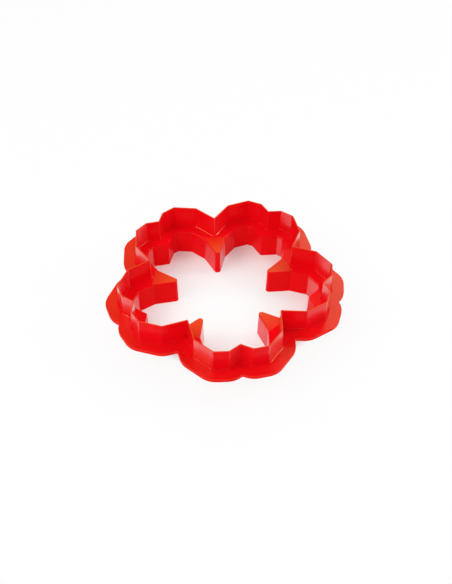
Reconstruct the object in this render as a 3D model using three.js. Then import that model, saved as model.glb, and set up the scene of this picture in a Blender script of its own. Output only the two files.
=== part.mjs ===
// Reversible flower-shaped pastry cutter, a thin-walled plastic moulding.
// A flat plate at mid-height carries a large petal blade that stands up from it
// and a smaller blade that hangs from its inner edge. It stands on the small blade.
// Millimetres, +Z up. The origin is the middle of the footprint's box, on the table.
import * as THREE from 'three';

// Driving dimensions, petals.
// Half a petal runs from a valley over its shoulder, lobe and crown to the notch in its middle.
// These corners lie on the middle line of the large blade's rim. The lobes are the furthest
// from the flower's axis, and the others lie deeper by the depths here, at angles from the valley.
const petalCount = 5;
const flowerRadius = 44.9;
const valleyDepth = 12.9;
const shoulderDepth = 4.6;
const crownDepth = 0.5;
const notchDepth = 3.7;
const shoulderAngle = 10.3;
const lobeAngle = 21.9;
const crownAngle = 29.8;
const cornerRound = 1.0;
const valleyRound = 0.6;

// Driving dimensions, plate.
const plateThickness = 1.4;
const flangeWidth = 5.9;
const flangeCornerRound = 8.9;
const flangeNotchRound = 0.8;
const ledgeWidth = 4.8;

// Driving dimensions, gussets that point inwards from the valleys.
const gussetLength = 11.5;
const gussetTipRound = 1.25;
const gussetRootHalfWidth = 4.4;
const ledgeCornerRound = 0.5;

// Driving dimensions, blades.
const largeBladeHeight = 10.1;
const largeBladeRootWall = 1.0;
const largeBladeEdgeWall = 0.5;
const smallBladeHeight = 10.4;
const smallBladeRootWall = 1.2;
const smallBladeEdgeWall = 0.6;
const smallBladeLean = 0.28;
const rootFillet = 0.6;

// Mesh fineness, and the smallest round that a shifted corner keeps.
const roundSteps = 3;
const filletSteps = 2;
const leastRound = 0.1;

// Levels above the table.
const plateBottom = smallBladeHeight;
const plateTop = plateBottom + plateThickness;
const rimLevel = plateTop + largeBladeHeight;

const petalTurn = (2 * Math.PI) / petalCount;
const firstValleyAngle = Math.PI / 2;
const valleyRadius = flowerRadius - valleyDepth;

function polar(distance, angle) {
  return new THREE.Vector2(distance * Math.cos(angle), distance * Math.sin(angle));
}

// Repeats one petal's corners round the axis. Each corner is { point, round }.
function roundTheFlower(petalCorners) {
  const corners = [];
  const centre = new THREE.Vector2();
  for (let petal = 0; petal < petalCount; petal += 1) {
    const turn = firstValleyAngle + petal * petalTurn;
    for (const { point, round } of petalCorners) {
      corners.push({ point: point.clone().rotateAround(centre, turn), round });
    }
  }
  return corners;
}

// Mirrors the half petal that runs from a valley to the notch onto the petal's other half.
function mirrorHalfPetal(half, notch) {
  const other = half.slice(1).reverse().map(({ point, round }) => {
    const angle = petalTurn - point.angle();
    return { point: polar(point.length(), angle), round };
  });
  return [...half, notch, ...other];
}

function rimCorner(depth, degrees) {
  return polar(flowerRadius - depth, THREE.MathUtils.degToRad(degrees));
}

// The rim's middle line, one petal from its valley. Its bulging corners take the given round.
function rimPetal(round) {
  const half = [
    { point: polar(valleyRadius, 0), round: valleyRound },
    { point: rimCorner(shoulderDepth, shoulderAngle), round },
    { point: rimCorner(0, lobeAngle), round },
    { point: rimCorner(crownDepth, crownAngle), round },
  ];
  const notch = { point: polar(flowerRadius - notchDepth, petalTurn / 2), round: valleyRound };
  return mirrorHalfPetal(half, notch);
}

// Moves the corner between two sides so that both sides shift outwards, to the right of travel.
function shiftCorner(before, point, after, shift) {
  const arriving = point.clone().sub(before).normalize();
  const leaving = after.clone().sub(point).normalize();
  const arrivingOut = new THREE.Vector2(arriving.y, -arriving.x);
  const leavingOut = new THREE.Vector2(leaving.y, -leaving.x);
  const share = shift / (1 + arrivingOut.dot(leavingOut));
  const moved = point.clone().addScaledVector(arrivingOut.add(leavingOut), share);
  return { moved, arriving, leaving, turn: arriving.cross(leaving) };
}

// The ledge's inner edge, one petal from its valley. The petal's sides move in by the
// ledge's width, and beside the valley they run on to the tip of a pointed gusset.
function ledgePetal() {
  const points = rimPetal(cornerRound).map(({ point }) => point);
  const inset = (index) => {
    const [before, point, after] = points.slice(index - 1, index + 2);
    return shiftCorner(before, point, after, -ledgeWidth).moved;
  };
  const [shoulder, lobe, crown, notch] = [1, 2, 3, 4].map(inset);

  const along = points[1].clone().sub(points[0]).normalize();
  const toRoot = (gussetRootHalfWidth - shoulder.y) / along.y;
  const gussetRoot = shoulder.clone().addScaledVector(along, toRoot);
  const tipCentre = new THREE.Vector2(valleyRadius - gussetLength + gussetTipRound, 0);
  const reach = gussetRoot.clone().sub(tipCentre);
  const sideAngle = reach.angle() - Math.asin(gussetTipRound / reach.length());
  const apex = new THREE.Vector2(gussetRoot.x - gussetRoot.y / Math.tan(sideAngle), 0);

  const half = [
    { point: apex, round: gussetTipRound },
    { point: gussetRoot, round: ledgeCornerRound },
    { point: shoulder, round: ledgeCornerRound },
    { point: lobe, round: ledgeCornerRound },
    { point: crown, round: ledgeCornerRound },
  ];
  return mirrorHalfPetal(half, { point: notch, round: valleyRound });
}

// The closed outline of a list of corners whose sides are shifted outwards, with each corner an arc.
// Corners that bulge out gain the shift in radius and hollow ones lose it, down to the least round.
function roundedOutline(corners, shift, least = leastRound) {
  const outline = [];
  corners.forEach(({ point, round }, index) => {
    const before = corners.at(index - 1).point;
    const after = corners[(index + 1) % corners.length].point;
    const { moved, arriving, leaving, turn } = shiftCorner(before, point, after, shift);
    const side = Math.sign(turn);
    const radius = Math.max(round + side * shift, least);
    const sweep = arriving.angleTo(leaving);
    const start = moved.clone().addScaledVector(arriving, -radius * Math.tan(sweep / 2));
    const leftOfArriving = new THREE.Vector2(-arriving.y, arriving.x);
    const centre = start.clone().addScaledVector(leftOfArriving, side * radius);
    for (let step = 0; step <= roundSteps; step += 1) {
      outline.push(start.clone().rotateAround(centre, (side * sweep * step) / roundSteps));
    }
  });
  return outline;
}

const rimCorners = roundTheFlower(rimPetal(cornerRound));
const flangeCorners = roundTheFlower(rimPetal(flangeCornerRound - flangeWidth));
const ledgeCorners = roundTheFlower(ledgePetal());

// A closed band round the flower. Its section is a loop of { shift, level } stations, taken
// up the outside first, and every station follows the same corners.
function bandGeometry(corners, section) {
  const rings = section.map(({ shift, level }) => {
    return roundedOutline(corners, shift).map(({ x, y }) => [x, y, level]);
  });
  const around = rings[0].length;
  const triangles = [];
  for (let ring = 0; ring < rings.length; ring += 1) {
    const here = ring * around;
    const above = ((ring + 1) % rings.length) * around;
    for (let index = 0; index < around; index += 1) {
      const next = (index + 1) % around;
      triangles.push(here + index, here + next, above + next);
      triangles.push(here + index, above + next, above + index);
    }
  }
  const geometry = new THREE.BufferGeometry();
  geometry.setAttribute('position', new THREE.Float32BufferAttribute(rings.flat(2), 3));
  geometry.setIndex(triangles);
  geometry.computeVertexNormals();
  return geometry;
}

// Stations of a concave quarter round that leads a wall into the plate. out is how far
// each station stands off the wall, away how far it is from the plate.
function filletStations() {
  const stations = [];
  for (let step = 0; step <= filletSteps; step += 1) {
    const angle = (Math.PI / 2) * (step / filletSteps);
    const out = rootFillet * (1 - Math.sin(angle));
    const away = rootFillet * (1 - Math.cos(angle));
    stations.push({ out, away });
  }
  return stations;
}

// The large blade stands on the plate and tapers on both faces to its rim.
function largeBladeGeometry() {
  const rootHalf = largeBladeRootWall / 2;
  const edgeHalf = largeBladeEdgeWall / 2;
  const foot = filletStations();
  const outside = foot.map(({ out, away }) => ({ shift: rootHalf + out, level: plateTop + away }));
  const inside = foot.map(({ out, away }) => ({ shift: -rootHalf - out, level: plateTop + away }));
  return bandGeometry(rimCorners, [
    ...outside,
    { shift: edgeHalf, level: rimLevel },
    { shift: -edgeHalf, level: rimLevel },
    ...inside.reverse(),
  ]);
}

// The small blade hangs from the plate along the ledge's inner edge. Its inner face leans
// in a little towards its cutting edge, and its outer face tapers.
function smallBladeGeometry() {
  const root = filletStations().map(({ out, away }) => {
    return { shift: smallBladeRootWall + out, level: plateBottom - away };
  });
  return bandGeometry(ledgeCorners, [
    { shift: smallBladeEdgeWall - smallBladeLean, level: 0 },
    ...root.reverse(),
    { shift: 0, level: plateBottom },
    { shift: -smallBladeLean, level: 0 },
  ]);
}

// The plate, flange and ledge in one, with the flower-shaped opening.
function gripPlateGeometry() {
  const shape = new THREE.Shape(roundedOutline(flangeCorners, flangeWidth, flangeNotchRound));
  shape.holes.push(new THREE.Path(roundedOutline(ledgeCorners, 0)));
  const geometry = new THREE.ExtrudeGeometry(shape, { depth: plateThickness, bevelEnabled: false });
  return geometry.translate(0, 0, plateBottom);
}

function addPiece(group, name, geometry, color) {
  const material = new THREE.MeshStandardMaterial({ color, roughness: 0.15, metalness: 0 });
  const piece = new THREE.Mesh(geometry, material);
  piece.name = name;
  group.add(piece);
}

const cutter = new THREE.Group();
addPiece(cutter, 'grip_plate', gripPlateGeometry(), 0xe3121a);
addPiece(cutter, 'large_blade', largeBladeGeometry(), 0xe00f18);
addPiece(cutter, 'small_blade', smallBladeGeometry(), 0xdc0c16);

// The flower's axis is a little off the middle of its box, because five petals have no opposite.
const footprint = new THREE.Box3().setFromObject(cutter).getCenter(new THREE.Vector3());
cutter.position.set(-footprint.x, -footprint.y, 0);

export default cutter;
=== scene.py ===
"""Visual model of a reversible flower-shaped pastry cutter, moulded in glossy red plastic.

The plate and the two blades are lofted from the same petal outline as the solids that they
stand for, with finer rounds, filleted roots and softened edges. Metres, +Z up.
"""
import math
from collections import namedtuple

import bpy
from mathutils import Matrix, Vector
from mathutils.geometry import tessellate_polygon


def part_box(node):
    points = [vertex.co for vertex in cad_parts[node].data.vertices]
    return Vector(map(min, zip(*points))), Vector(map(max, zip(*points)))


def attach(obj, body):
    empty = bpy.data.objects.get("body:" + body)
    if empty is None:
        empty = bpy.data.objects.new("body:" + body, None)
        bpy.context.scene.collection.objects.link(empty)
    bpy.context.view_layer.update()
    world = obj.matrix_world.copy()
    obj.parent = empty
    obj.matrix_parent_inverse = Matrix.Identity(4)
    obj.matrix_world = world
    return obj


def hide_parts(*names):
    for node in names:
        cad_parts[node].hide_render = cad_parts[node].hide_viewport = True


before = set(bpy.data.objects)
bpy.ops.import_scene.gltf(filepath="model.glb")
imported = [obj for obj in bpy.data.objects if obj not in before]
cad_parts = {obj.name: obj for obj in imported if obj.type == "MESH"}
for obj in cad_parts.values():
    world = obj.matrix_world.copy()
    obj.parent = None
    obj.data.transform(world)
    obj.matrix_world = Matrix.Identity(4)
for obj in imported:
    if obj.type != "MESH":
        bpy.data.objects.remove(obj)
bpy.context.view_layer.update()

MM = 0.001

# Petals. Half a petal runs from a valley over its shoulder, lobe and crown to the notch in its
# middle, at these depths below the flower's radius and angles from the valley.
PETAL_COUNT = 5
PETAL_TURN = math.tau / PETAL_COUNT
FIRST_VALLEY = math.pi / 2
FLOWER_RADIUS = 44.9 * MM
VALLEY_DEPTH = 12.9 * MM
SHOULDER_DEPTH = 4.6 * MM
CROWN_DEPTH = 0.5 * MM
NOTCH_DEPTH = 3.7 * MM
SHOULDER_ANGLE = math.radians(10.3)
LOBE_ANGLE = math.radians(21.9)
CROWN_ANGLE = math.radians(29.8)
CORNER_ROUND = 1.0 * MM
VALLEY_ROUND = 0.2 * MM

# Plate: the flange outside the large blade, the ledge inside it, and the pointed gussets, whose
# painted sheen ends at a crease this far from the flower's axis.
FLANGE_WIDTH = 5.9 * MM
FLANGE_CORNER_ROUND = 8.9 * MM
FLANGE_NOTCH_ROUND = 0.8 * MM
LEDGE_WIDTH = 4.8 * MM
GUSSET_LENGTH = 11.5 * MM
GUSSET_TIP_ROUND = 1.25 * MM
GUSSET_ROOT_HALF_WIDTH = 4.4 * MM
LEDGE_CORNER_ROUND = 0.5 * MM
GUSSET_CREASE_RADIUS = 30.4 * MM

# Blade walls, at the plate and at the cutting edge.
LARGE_ROOT_WALL = 1.0 * MM
LARGE_EDGE_WALL = 0.5 * MM
SMALL_ROOT_WALL = 1.2 * MM
SMALL_EDGE_WALL = 0.6 * MM
SMALL_LEAN = 0.28 * MM

# Rounds of the moulding, and how finely they are cut.
ROOT_FILLET = 0.6 * MM
BLADE_EDGE_ROUND = 0.14 * MM
PLATE_EDGE_ROUND = 0.3 * MM
PLATE_FOOT_ROUND = 0.1 * MM
LEAST_ROUND = 0.1 * MM
CORNER_STEPS = 9
FILLET_STEPS = 6
EDGE_STEPS = 4
STRAIGHT = math.radians(0.01)

# Levels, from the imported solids.
TABLE_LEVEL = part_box("small_blade")[0].z
PLATE_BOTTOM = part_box("grip_plate")[0].z
PLATE_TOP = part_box("grip_plate")[1].z
RIM_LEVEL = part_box("large_blade")[1].z

# Camera: the flower as the photograph shows it, turned about its axis and seen from above.
PHOTO_HEIGHT = 584
FOCAL_PIXELS = 954.1
VIEW_TURN = math.radians(-9.036)
VIEW_ELEVATION = math.radians(46.222)
VIEW_ROLL = math.radians(0.835)
VIEW_DISTANCE = 387.25 * MM
AIM_FROM_AXIS = Vector((0.55 * MM, -12.94 * MM, 0))

# Table. Its painted bright spot inside the flower and the middle of the shaded part round that spot lie
# here, from the flower's axis in the camera's direction. Shares are those of pure white, painted light,
# that the table shows, near and far from each of the two. The squeeze widens the painted spot across the
# view.
TABLE_HALF = 3.0
TABLE_WHITE = 0.9
LIT_SPOT = Vector((0, -2 * MM, 0))
LIT_REACH = (6 * MM, 35 * MM)
LIT_SHARES = (0.85, 0.05)
LIT_SQUEEZE = (0.8, 1, 1)
SHADE_MIDDLE = Vector((0, 10 * MM, 0))
SHADE_REACH = (38 * MM, 46 * MM)
SHADE_SHARES = (0, 0.9)

# A corner of an outline in the plan, as a complex number, and the radius that rounds it.
Corner = namedtuple("Corner", "point round")
# A ring of a loft: the outline's shift outwards, the level, and the surface's normal there.
Station = namedtuple("Station", "shift level out up")
# A glossy coat that shows where a surface is seen at a glance, between two degrees of turning away.
Coat = namedtuple("Coat", "weight start end")
# A lamp that faces the cutter. Seen from the camera, azimuth 0 is behind the cutter and 90 degrees
# are to its right.
Lamp = namedtuple("Lamp", "name azimuth elevation size radiance colour")

# Lamps. The fills light the cutter without showing in its gloss.
LAMP_DISTANCE = 0.6
WHITE = (1, 1, 1)
AMBER = (1, 0.95, 0.3)
SOFTBOXES = (
    Lamp("right_softbox", 80, 32, (0.12, 0.27), 8.5, WHITE),
    Lamp("left_softbox", -100, 45, (0.2, 0.2), 4.5, WHITE),
    Lamp("back_softbox", 20, 39, (0.22, 0.2), 2.5, WHITE),
    Lamp("back_left_softbox", -14, 39, (0.2, 0.2), 0.7, AMBER),
)
FILLS = (
    Lamp("front_fill", 180, 56, (0.22, 0.22), 6.5, WHITE),
    Lamp("front_left_fill", -128, 47, (0.22, 0.22), 4.3, WHITE),
    Lamp("back_right_fill", 55, 56, (0.22, 0.22), 2.6, WHITE),
    Lamp("back_left_fill", -45, 55, (0.22, 0.22), 3.0, WHITE),
)
# Brightness of the sky at heights from the horizon, 0, to overhead, 1.
SKY = ((0.06, 1.0), (0.1, 0.72), (0.35, 0.72), (0.7, 0.1))

# Ranges of colour and of roughness that the plastic's finishes have; three of the colours are painted
# light. The painted sheen changes from its first colour to its second over this reach from the flower's
# axis.
CLEAR_RED = ((0.83, 0.002, 0.006), (0.89, 0.003, 0.009))
DEEP_RED = ((0.79, 0.002, 0.005), (0.83, 0.003, 0.008))
# Painted orange glow, for the thin rim and the valleys' rounds.
PAINTED_GLOW_RED = ((0.75, 0.040, 0.007), (0.79, 0.050, 0.009))
# Painted highlight, for the flange's top edge.
PAINTED_HIGHLIGHT_RED = ((0.77, 0.012, 0.006), (0.81, 0.018, 0.008))
# Painted sheen, for the gusset tops: orange at the tip, red by the root.
PAINTED_SHEEN_RED = ((0.78, 0.056, 0.008), (0.79, 0.014, 0.004))
FADE_REACH = (22 * MM, 30 * MM)
SHINY = (0.06, 0.12)
SATIN = (0.28, 0.32)
SOFT = (0.40, 0.44)


def polar(distance, angle):
    return complex(distance * math.cos(angle), distance * math.sin(angle))


def unit(value):
    return value / abs(value)


def mirror_half_petal(half, notch):
    """Adds the petal's other half to the half that runs from a valley to the notch."""
    across = polar(1, PETAL_TURN)
    other = [Corner(across * corner.point.conjugate(), corner.round) for corner in half[:0:-1]]
    return [*half, notch, *other]


def round_the_flower(petal):
    """Repeats one petal's corners round the axis."""
    turns = [polar(1, FIRST_VALLEY + index * PETAL_TURN) for index in range(PETAL_COUNT)]
    return [Corner(turn * corner.point, corner.round) for turn in turns for corner in petal]


def rim_petal(corner_round):
    """One petal of the large blade's middle line, from its valley, with its bulging corners rounded."""
    half = [
        Corner(polar(FLOWER_RADIUS - VALLEY_DEPTH, 0), VALLEY_ROUND),
        Corner(polar(FLOWER_RADIUS - SHOULDER_DEPTH, SHOULDER_ANGLE), corner_round),
        Corner(polar(FLOWER_RADIUS, LOBE_ANGLE), corner_round),
        Corner(polar(FLOWER_RADIUS - CROWN_DEPTH, CROWN_ANGLE), corner_round),
    ]
    notch = Corner(polar(FLOWER_RADIUS - NOTCH_DEPTH, PETAL_TURN / 2), VALLEY_ROUND)
    return mirror_half_petal(half, notch)


def shift_corner(before, point, after, shift):
    """Moves a corner so that both of its sides shift outwards, to the right of travel."""
    arriving_out = -1j * unit(point - before)
    leaving_out = -1j * unit(after - point)
    across = arriving_out + leaving_out
    return point + across * shift * 2 / abs(across) ** 2


def ledge_petal():
    """One petal of the ledge's inner edge: the rim's sides moved in, and a pointed gusset."""
    points = [corner.point for corner in rim_petal(CORNER_ROUND)]
    inset = [shift_corner(*points[at - 1:at + 2], -LEDGE_WIDTH) for at in range(1, 5)]
    shoulder, lobe, crown, notch = inset
    along = unit(points[1] - points[0])
    gusset_root = shoulder + along * (GUSSET_ROOT_HALF_WIDTH - shoulder.imag) / along.imag
    crease = shoulder + along * (GUSSET_CREASE_RADIUS - shoulder.real) / along.real
    tip_centre = FLOWER_RADIUS - VALLEY_DEPTH - GUSSET_LENGTH + GUSSET_TIP_ROUND
    reach = gusset_root - tip_centre
    side_angle = math.atan2(reach.imag, reach.real) - math.asin(GUSSET_TIP_ROUND / abs(reach))
    apex = complex(gusset_root.real - gusset_root.imag / math.tan(side_angle), 0)
    half = [
        Corner(apex, GUSSET_TIP_ROUND),
        Corner(gusset_root, LEDGE_CORNER_ROUND),
        Corner(crease, LEDGE_CORNER_ROUND),
        Corner(shoulder, LEDGE_CORNER_ROUND),
        Corner(lobe, LEDGE_CORNER_ROUND),
        Corner(crown, LEDGE_CORNER_ROUND),
    ]
    return mirror_half_petal(half, Corner(notch, VALLEY_ROUND))


def rounded_outline(corners, shift, least=LEAST_ROUND):
    """Points of the shifted outline, each with its outward normal.

    Corners become arcs, and a corner on a straight side stays one point.
    """
    outline = []
    for index, corner in enumerate(corners):
        before = corners[index - 1].point
        after = corners[(index + 1) % len(corners)].point
        arriving = unit(corner.point - before)
        leaving = unit(after - corner.point)
        sweep = math.atan2((leaving / arriving).imag, (leaving / arriving).real)
        side = math.copysign(1, sweep)
        radius = max(corner.round + side * shift, least)
        moved = shift_corner(before, corner.point, after, shift)
        start = moved - arriving * radius * math.tan(abs(sweep) / 2)
        centre = start + 1j * arriving * side * radius
        steps = CORNER_STEPS if abs(sweep) > STRAIGHT else 0
        for step in range(steps + 1):
            normal = -1j * arriving * polar(1, sweep * step / CORNER_STEPS)
            outline.append((centre + normal * side * radius, normal))
    return outline


def ledge_outline():
    """The ledge's corners, from a shoulder on, so that no gusset is split between the list's ends."""
    corners = round_the_flower(ledge_petal())
    shoulder = 3
    return corners[shoulder:] + corners[:shoulder]


def finishes_round(*runs):
    """The finish of each face of a ring, from one petal's runs of a finish and a number of faces."""
    return [finish for finish, count in runs for _ in range(count)] * PETAL_COUNT


def flat_after(petal, petal_faces, corner):
    """The place in a ring of the flat face that follows a corner of a petal."""
    return petal * petal_faces + (corner + 1) * CORNER_FACES - 1


RIM = round_the_flower(rim_petal(CORNER_ROUND))
FLANGE = round_the_flower(rim_petal(FLANGE_CORNER_ROUND - FLANGE_WIDTH))
LEDGE = ledge_outline()

# Faces of a ring. A rounded corner has those of its arc and the flat one that follows. A petal of
# the rim has eight such corners. A petal of the ledge has seven, and then a gusset that has three
# and two creases.
CORNER_FACES = CORNER_STEPS + 1
RIM_PETAL_FACES = 8 * CORNER_FACES
GUSSET_START = 7 * CORNER_FACES
GUSSET_FACES = 3 * CORNER_FACES + 2
LEDGE_PETAL_FACES = GUSSET_START + GUSSET_FACES

# Finishes of the faces round the blades. Inside the large blade the middle third of each valley's
# round has a painted orange glow, and inside the small blade the finish changes from shoulder to
# shoulder of a petal. The back right petal's flat faces after its first lobe gleam inside both
# blades, and the right petal's flat face after its first shoulder is fainter outside the large blade.
RIGHT_PETAL = 3
BACK_RIGHT_PETAL = 4
RIM_SHOULDER = 1
RIM_LOBE = 2
LEDGE_LOBE = 1
VALLEY_THIRD = CORNER_STEPS // 3
LARGE_OUTSIDE = finishes_round(("glossy", RIM_PETAL_FACES))
LARGE_OUTSIDE[flat_after(RIGHT_PETAL, RIM_PETAL_FACES, RIM_SHOULDER)] = "faint"
LARGE_INSIDE = finishes_round(
    ("glossy", VALLEY_THIRD),
    # The middle third of each valley's round has a painted orange glow.
    ("glowing", VALLEY_THIRD),
    ("glossy", RIM_PETAL_FACES - 2 * VALLEY_THIRD),
)
LARGE_INSIDE[flat_after(BACK_RIGHT_PETAL, RIM_PETAL_FACES, RIM_LOBE)] = "gleaming"
SMALL_INSIDE = finishes_round(
    ("mild", CORNER_FACES - 1),
    ("glossy", 1),
    ("polished", 4 * CORNER_FACES - 1),
    ("glossy", CORNER_FACES + 1),
    ("mild", CORNER_FACES + GUSSET_FACES),
)
SMALL_INSIDE[flat_after(BACK_RIGHT_PETAL, LEDGE_PETAL_FACES, LEDGE_LOBE)] = "gleaming"


def flower_axis():
    """Where the flower's axis stands. The origin is the middle of the flange's box."""
    heights = [point.imag for point, _ in rounded_outline(FLANGE, FLANGE_WIDTH, FLANGE_NOTCH_ROUND)]
    return Vector((0, -(min(heights) + max(heights)) / 2, 0))


AXIS = flower_axis()


class Skin:
    """A closed mesh under construction, with the moulded surface's own normal at each face corner."""

    def __init__(self):
        self.points = []
        self.faces = []
        self.finishes = []
        self.normals = []
        self.rings = {}

    def ring(self, corners, station, least):
        """The vertices of one ring, made the first time that it is asked for."""
        key = (id(corners), station.shift, station.level)
        if key not in self.rings:
            outline = rounded_outline(corners, station.shift, least)
            first = len(self.points)
            self.points += [Vector((p.real, p.imag, station.level)) + AXIS for p, _ in outline]
            self.rings[key] = list(range(first, len(self.points)))
        return self.rings[key]

    def loft(self, corners, stations, finish, least=LEAST_ROUND):
        """Faces between each two stations, which run up the outside and down the inside.

        The finish is one for all faces or a list of one for each face of a ring.
        """
        for lower, upper in zip(stations, stations[1:]):
            low_ring = self.ring(corners, lower, least)
            high_ring = self.ring(corners, upper, least)
            outs = [normal for _, normal in rounded_outline(corners, 0, least)]
            for here in range(len(outs)):
                after = (here + 1) % len(outs)
                self.faces.append((low_ring[here], low_ring[after], high_ring[after], high_ring[here]))
                self.finishes.append(finish[here] if isinstance(finish, list) else finish)
                for station, at in ((lower, here), (lower, after), (upper, after), (upper, here)):
                    out = outs[at] * station.out
                    self.normals.append(Vector((out.real, out.imag, station.up)).normalized())

    def flat(self, rings, up, finish):
        """A level face inside the first ring and outside the others."""
        loops = [[self.points[at] for at in ring] for ring in rings]
        ring_points = [at for ring in rings for at in ring]
        for triangle in tessellate_polygon(loops):
            face = [ring_points[at] for at in triangle]
            first, second, third = (self.points[at] for at in face)
            if (second - first).cross(third - first).z * up < 0:
                face.reverse()
            self.faces.append(tuple(face))
            self.finishes.append(finish)
            self.normals += [Vector((0, 0, up))] * 3

    def piece(self, name, materials):
        """Makes the object, with the finishes that its faces have."""
        mesh = bpy.data.meshes.new(name)
        mesh.from_pydata(self.points, [], self.faces)
        mesh.shade_smooth()
        mesh.normals_split_custom_set(self.normals)
        used = sorted(set(self.finishes))
        for finish in used:
            mesh.materials.append(materials[finish])
        for polygon, finish in zip(mesh.polygons, self.finishes):
            polygon.material_index = used.index(finish)
        piece = bpy.data.objects.new(name, mesh)
        bpy.context.scene.collection.objects.link(piece)
        return piece


def quarter_round(centre_shift, centre_level, radius, start, end, steps, hollow=False):
    """Stations along an arc of the section. Angles run from straight out towards straight up."""
    stations = []
    for step in range(steps + 1):
        angle = start + (end - start) * step / steps
        out = math.cos(angle)
        up = math.sin(angle)
        facing = -1 if hollow else 1
        stations.append(
            Station(centre_shift + radius * out, centre_level + radius * up, facing * out, facing * up)
        )
    return stations


def wall_tilt(low_shift, low_level, high_shift, high_level):
    """The angle above level at which a wall faces out, from its section's low and high ends."""
    return math.atan2(low_shift - high_shift, high_level - low_level)


def mirrored(stations):
    """The same stations on the wall's other face, taken the other way."""
    return [Station(-s.shift, s.level, -s.out, s.up) for s in reversed(stations)]


def large_blade_skin():
    """The blade that stands on the plate: a filleted foot, tapering faces and a softened rim."""
    root = LARGE_ROOT_WALL / 2
    edge = LARGE_EDGE_WALL / 2
    foot_level = PLATE_TOP + ROOT_FILLET
    tilt = wall_tilt(root, foot_level, edge, RIM_LEVEL)
    fillet = quarter_round(
        root + ROOT_FILLET,
        foot_level,
        ROOT_FILLET,
        -math.pi / 2,
        tilt - math.pi,
        FILLET_STEPS,
        hollow=True,
    )
    edge_level = RIM_LEVEL - BLADE_EDGE_ROUND
    rim = quarter_round(
        edge - BLADE_EDGE_ROUND, edge_level, BLADE_EDGE_ROUND, tilt, math.pi / 2, EDGE_STEPS
    )
    wall = [fillet[-1], rim[0]]
    inner_fillet = mirrored(fillet)
    underside = [inner_fillet[-1]._replace(out=0, up=-1), fillet[0]._replace(out=0, up=-1)]
    skin = Skin()
    skin.loft(RIM, fillet, "shiny")
    skin.loft(RIM, wall, LARGE_OUTSIDE)
    # The rim's round has a painted orange glow.
    skin.loft(RIM, [*rim, *mirrored(rim)], "glowing")
    skin.loft(RIM, mirrored(wall), LARGE_INSIDE)
    skin.loft(RIM, inner_fillet, "shiny")
    skin.loft(RIM, underside, "glossy")
    return skin


def small_blade_skin():
    """The blade that hangs from the ledge's inner edge and tapers to the edge it stands on."""
    root_level = PLATE_BOTTOM - ROOT_FILLET
    edge_outside = SMALL_EDGE_WALL - SMALL_LEAN
    outer_tilt = wall_tilt(edge_outside, TABLE_LEVEL, SMALL_ROOT_WALL, root_level)
    inner_tilt = math.pi + wall_tilt(-SMALL_LEAN, TABLE_LEVEL, 0, PLATE_BOTTOM)
    edge_level = TABLE_LEVEL + BLADE_EDGE_ROUND
    outer_edge = quarter_round(
        edge_outside - BLADE_EDGE_ROUND, edge_level, BLADE_EDGE_ROUND, -math.pi / 2, outer_tilt, EDGE_STEPS
    )
    fillet = quarter_round(
        SMALL_ROOT_WALL + ROOT_FILLET,
        root_level,
        ROOT_FILLET,
        math.pi + outer_tilt,
        math.pi / 2,
        FILLET_STEPS,
        hollow=True,
    )
    inner_root = Station(0, PLATE_BOTTOM, math.cos(inner_tilt), math.sin(inner_tilt))
    inner_edge = quarter_round(
        BLADE_EDGE_ROUND - SMALL_LEAN, edge_level, BLADE_EDGE_ROUND, inner_tilt, 1.5 * math.pi, EDGE_STEPS
    )
    skin = Skin()
    skin.loft(LEDGE, [*outer_edge, *fillet], "mild")
    skin.loft(LEDGE, [fillet[-1]._replace(out=0, up=1), inner_root._replace(out=0, up=1)], "polished")
    skin.loft(LEDGE, [inner_root, *inner_edge, outer_edge[0]], SMALL_INSIDE)
    return skin


def grip_plate_skin():
    """The plate, with softened edges on the flange and round the flower-shaped opening."""
    soft = PLATE_EDGE_ROUND
    crisp = PLATE_FOOT_ROUND
    low_edge = quarter_round(FLANGE_WIDTH - crisp, PLATE_BOTTOM + crisp, crisp, -math.pi / 2, 0, EDGE_STEPS)
    high_edge = quarter_round(FLANGE_WIDTH - soft, PLATE_TOP - soft, soft, 0, math.pi / 2, EDGE_STEPS)
    opening_edge = quarter_round(soft, PLATE_TOP - soft, soft, math.pi / 2, math.pi, EDGE_STEPS)
    opening_foot = Station(0, PLATE_BOTTOM, -1, 0)
    skin = Skin()
    skin.loft(FLANGE, [*low_edge, high_edge[0]], "polished", FLANGE_NOTCH_ROUND)
    # The flange's top edge has a painted highlight.
    skin.loft(FLANGE, high_edge, "warm", FLANGE_NOTCH_ROUND)
    skin.loft(LEDGE, opening_edge, "shiny")
    skin.loft(LEDGE, [opening_edge[-1], opening_foot], "polished")

    flange_ring = skin.ring(FLANGE, high_edge[-1], FLANGE_NOTCH_ROUND)
    blade_ring = skin.ring(RIM, Station(0, PLATE_TOP, 0, 1), LEAST_ROUND)
    opening_ring = skin.ring(LEDGE, opening_edge[0], LEAST_ROUND)
    skin.flat([flange_ring, blade_ring], 1, "satin")
    ledge_ring = []
    petal_points = len(opening_ring) // PETAL_COUNT
    for first in range(0, len(opening_ring), petal_points):
        petal = opening_ring[first:first + petal_points]
        ledge_ring += [*petal[:GUSSET_START + 1], petal[-1]]
        # Each gusset top has a painted sheen.
        skin.flat([petal[GUSSET_START:]], 1, "fading")
    skin.flat([blade_ring, ledge_ring], 1, "polished")

    under_flange_ring = skin.ring(FLANGE, low_edge[0], FLANGE_NOTCH_ROUND)
    under_opening_ring = skin.ring(LEDGE, opening_foot, LEAST_ROUND)
    skin.flat([under_flange_ring, under_opening_ring], -1, "polished")
    return skin


def add_node(owner, kind, **inputs):
    """A new shader node of a material or of the world, with its unlinked inputs set."""
    node = owner.node_tree.nodes.new(kind)
    for name, value in inputs.items():
        node.inputs[name.replace("_", " ")].default_value = value
    return node


def add_math(material, operation, *values, kind="ShaderNodeMath"):
    """A new arithmetic node. Its inputs are numbers, vectors or other nodes' outputs."""
    node = material.node_tree.nodes.new(kind)
    node.operation = operation
    for socket, value in zip(node.inputs, values):
        if isinstance(value, bpy.types.NodeSocket):
            material.node_tree.links.new(value, socket)
        else:
            socket.default_value = value
    return node


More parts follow.
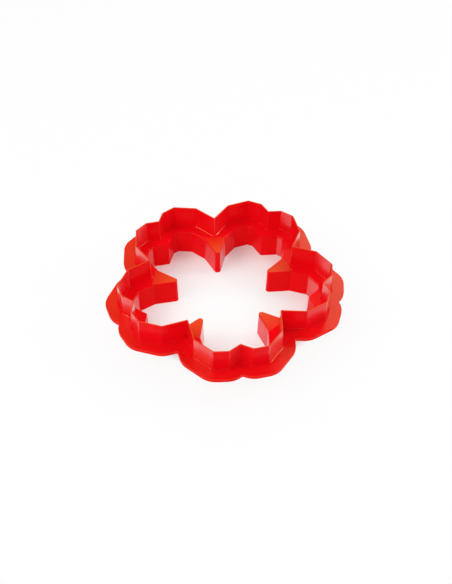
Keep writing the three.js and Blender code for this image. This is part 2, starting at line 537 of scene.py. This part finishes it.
def add_ramp(material, value, reach, results=(0, 1)):
    """The output that goes from one result to the other while the value runs through its reach."""
    ramp = add_node(
        material,
        "ShaderNodeMapRange",
        From_Min=reach[0],
        From_Max=reach[1],
        To_Min=results[0],
        To_Max=results[1],
    )
    material.node_tree.links.new(value, ramp.inputs["Value"])
    return ramp.outputs["Result"]


def red_plastic(name, colours, specular, polish, coat=None, fade=None):
    """Moulded red plastic with faint flow marks, mould waviness and uneven polish.

    Colours and polish are ranges. A coat adds gloss at grazing angles. With a fade, the colours
    change between two distances from the flower's axis, as the gusset tops' painted sheen does.
    """
    material = bpy.data.materials.new(name)
    material.use_nodes = True
    link = material.node_tree.links.new
    shader = material.node_tree.nodes["Principled BSDF"]
    shader.inputs["IOR"].default_value = 1.5
    shader.inputs["Specular IOR Level"].default_value = specular
    shader.inputs["Specular Tint"].default_value = (1.0, 0.8, 0.35, 1)
    place = add_node(material, "ShaderNodeTexCoord").outputs["Object"]

    flow = add_node(material, "ShaderNodeTexNoise", Scale=45, Detail=3, Roughness=0.5)
    link(place, flow.inputs["Vector"])
    colour = add_node(material, "ShaderNodeValToRGB")
    for element, value in zip(colour.color_ramp.elements, colours):
        element.color = (*value, 1)
    if fade:
        middle = AXIS + Vector((0, 0, PLATE_TOP))
        reach = add_math(material, "DISTANCE", place, middle, kind="ShaderNodeVectorMath")
        link(add_ramp(material, reach.outputs["Value"], fade), colour.inputs["Fac"])
    else:
        link(flow.outputs["Fac"], colour.inputs["Fac"])
    link(colour.outputs["Color"], shader.inputs["Base Color"])

    grain = add_node(material, "ShaderNodeTexNoise", Scale=600, Detail=4, Roughness=0.6)
    link(place, grain.inputs["Vector"])
    roughness = add_ramp(material, grain.outputs["Fac"], (0, 1), polish)
    link(roughness, shader.inputs["Roughness"])

    if coat:
        shader.inputs["Coat IOR"].default_value = 2.0
        shader.inputs["Coat Roughness"].default_value = 0.26
        facing = add_node(material, "ShaderNodeLayerWeight", Blend=0.5)
        weight = add_ramp(material, facing.outputs["Facing"], (coat.start, coat.end), (0, coat.weight))
        link(weight, shader.inputs["Coat Weight"])

    waviness = add_node(material, "ShaderNodeTexNoise", Scale=110, Detail=2, Roughness=0.4)
    link(place, waviness.inputs["Vector"])
    bump = add_node(material, "ShaderNodeBump", Strength=0.1, Distance=0.00004)
    link(waviness.outputs["Fac"], bump.inputs["Height"])
    link(bump.outputs["Normal"], shader.inputs["Normal"])
    return material


def add_cutter():
    """Puts the three pieces in place of their solids."""
    materials = {
        "polished": red_plastic("polished_red", CLEAR_RED, 0.05, SHINY),
        "glossy": red_plastic("glossy_red", CLEAR_RED, 0.05, SHINY, Coat(1.0, 0.36, 0.46)),
        "mild": red_plastic("mild_red", CLEAR_RED, 0.05, SHINY, Coat(0.65, 0.56, 0.72)),
        "faint": red_plastic("faint_red", CLEAR_RED, 0.05, SHINY, Coat(0.45, 0.36, 0.46)),
        "gleaming": red_plastic("gleaming_red", CLEAR_RED, 0.05, SHINY, Coat(0.8, 0.26, 0.31)),
        "shiny": red_plastic("shiny_red", CLEAR_RED, 0.7, SHINY),
        "satin": red_plastic("satin_red", DEEP_RED, 0.75, SATIN),
        # Painted orange glow of the rim and the valleys' rounds.
        "glowing": red_plastic("painted_glow_red", PAINTED_GLOW_RED, 0.45, SOFT),
        # Painted highlight of the flange's top edge.
        "warm": red_plastic("painted_highlight_red", PAINTED_HIGHLIGHT_RED, 0.45, SOFT),
        # Painted sheen of the gusset tops, fading towards their roots.
        "fading": red_plastic("painted_sheen_red", PAINTED_SHEEN_RED, 0.55, SOFT, fade=FADE_REACH),
    }
    skins = {
        "grip_plate": grip_plate_skin(),
        "large_blade": large_blade_skin(),
        "small_blade": small_blade_skin(),
    }
    for node, skin in skins.items():
        piece = skin.piece(node + "_moulding", materials)
        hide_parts(node)
        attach(piece, "root")


def add_floor():
    """A white table with painted light, pure white mixed in around the cutter and in its middle, with the
    cutter's shadow between.
    """
    mesh = bpy.data.meshes.new("white_table")
    signs = ((-1, -1), (1, -1), (1, 1), (-1, 1))
    corners = [(x * TABLE_HALF, y * TABLE_HALF, 0) for x, y in signs]
    mesh.from_pydata(corners, [], [(0, 1, 2, 3)])
    material = bpy.data.materials.new("white_paper")
    material.use_nodes = True
    link = material.node_tree.links.new
    shader = material.node_tree.nodes["Principled BSDF"]
    shader.inputs["Base Color"].default_value = (TABLE_WHITE, TABLE_WHITE, TABLE_WHITE, 1)
    shader.inputs["Roughness"].default_value = 0.9
    shader.inputs["Specular IOR Level"].default_value = 0.0

    place = add_node(material, "ShaderNodeTexCoord").outputs["Object"]
    shade_middle = SHADE_MIDDLE - LIT_SPOT
    from_shade = add_math(material, "DISTANCE", place, shade_middle, kind="ShaderNodeVectorMath")
    outside = add_ramp(material, from_shade.outputs["Value"], SHADE_REACH, SHADE_SHARES)
    squeezed = add_math(material, "MULTIPLY", place, LIT_SQUEEZE, kind="ShaderNodeVectorMath")
    from_spot = add_math(material, "LENGTH", squeezed.outputs["Vector"], kind="ShaderNodeVectorMath")
    inside = add_ramp(material, from_spot.outputs["Value"], LIT_REACH, LIT_SHARES)
    share = add_math(material, "MAXIMUM", outside, inside)

    ray = add_node(material, "ShaderNodeLightPath").outputs
    mirrored_ray = add_math(material, "MAXIMUM", ray["Is Glossy Ray"], ray["Is Transmission Ray"])
    seen = add_math(material, "MAXIMUM", ray["Is Camera Ray"], mirrored_ray.outputs[0])
    factor = add_math(material, "MULTIPLY", seen.outputs[0], share.outputs[0])
    # Pure white, painted light, mixed in by the share for camera and mirrored rays.
    white = add_node(material, "ShaderNodeEmission")
    mix = add_node(material, "ShaderNodeMixShader")
    link(factor.outputs[0], mix.inputs[0])
    link(shader.outputs[0], mix.inputs[1])
    link(white.outputs[0], mix.inputs[2])
    link(mix.outputs[0], material.node_tree.nodes["Material Output"].inputs["Surface"])
    mesh.materials.append(material)
    floor = bpy.data.objects.new("white_table", mesh)
    floor.location = AXIS + Matrix.Rotation(VIEW_TURN, 3, "Z") @ LIT_SPOT
    floor.rotation_euler.z = VIEW_TURN
    bpy.context.scene.collection.objects.link(floor)


def add_lamp(lamp, in_gloss):
    """An area lamp that faces the cutter squarely, and shows in its gloss or doesn't."""
    light = bpy.data.lights.new(lamp.name, "AREA")
    light.shape = "RECTANGLE"
    light.size, light.size_y = lamp.size
    light.energy = lamp.radiance * math.pi * light.size * light.size_y
    light.color = lamp.colour
    turn = Matrix.Rotation(VIEW_TURN - math.radians(lamp.azimuth), 3, "Z")
    tilt = Matrix.Rotation(math.radians(lamp.elevation), 3, "X")
    direction = turn @ tilt @ Vector((0, 1, 0))
    target = AXIS + Vector((0, 0, PLATE_TOP))
    piece = bpy.data.objects.new(lamp.name, light)
    piece.location = target + direction * LAMP_DISTANCE
    piece.rotation_euler = direction.to_track_quat("Z", "Y").to_euler()
    piece.visible_glossy = in_gloss
    bpy.context.scene.collection.objects.link(piece)


def add_sky():
    """A soft white surrounding, brightest at the horizon, that doesn't show in the cutter's gloss."""
    world = bpy.data.worlds.new("studio")
    world.use_nodes = True
    link = world.node_tree.links.new
    direction = add_node(world, "ShaderNodeTexCoord").outputs["Generated"]
    height = add_node(world, "ShaderNodeSeparateXYZ")
    link(direction, height.inputs["Vector"])
    level = add_node(world, "ShaderNodeValToRGB")
    stops = level.color_ramp.elements
    while len(stops) < len(SKY):
        stops.new(1)
    for stop, (position, brightness) in zip(stops, SKY):
        stop.position = position
        stop.color = (brightness, brightness, brightness, 1)
    link(height.outputs["Z"], level.inputs["Fac"])
    background = world.node_tree.nodes["Background"]
    link(level.outputs["Color"], background.inputs["Color"])
    world.cycles_visibility.glossy = False
    bpy.context.scene.world = world


def add_light():
    """The studio: the sky, the softboxes that the gloss shows and the fills that it doesn't."""
    add_sky()
    for lamp in SOFTBOXES:
        add_lamp(lamp, True)
    for lamp in FILLS:
        add_lamp(lamp, False)


def add_camera():
    """The photograph's view, with the picture's middle on the point that it is aimed at."""
    data = bpy.data.cameras.new("photo_camera")
    data.sensor_fit = "VERTICAL"
    data.lens = FOCAL_PIXELS / PHOTO_HEIGHT * data.sensor_height
    data.clip_start = 10 * MM
    turn = Matrix.Rotation(VIEW_TURN, 3, "Z")
    tilt = Matrix.Rotation(math.pi / 2 - VIEW_ELEVATION, 3, "X")
    roll = Matrix.Rotation(VIEW_ROLL, 3, "Z")
    facing = turn @ tilt @ roll
    aim = AXIS + turn @ AIM_FROM_AXIS + Vector((0, 0, RIM_LEVEL))
    camera = bpy.data.objects.new("photo_camera", data)
    camera.matrix_world = Matrix.LocRotScale(aim + facing @ Vector((0, 0, VIEW_DISTANCE)), facing, None)
    bpy.context.scene.collection.objects.link(camera)
    bpy.context.scene.camera = camera


bpy.context.scene.view_settings.view_transform = "Standard"
add_cutter()
add_floor()
add_light()
add_camera()
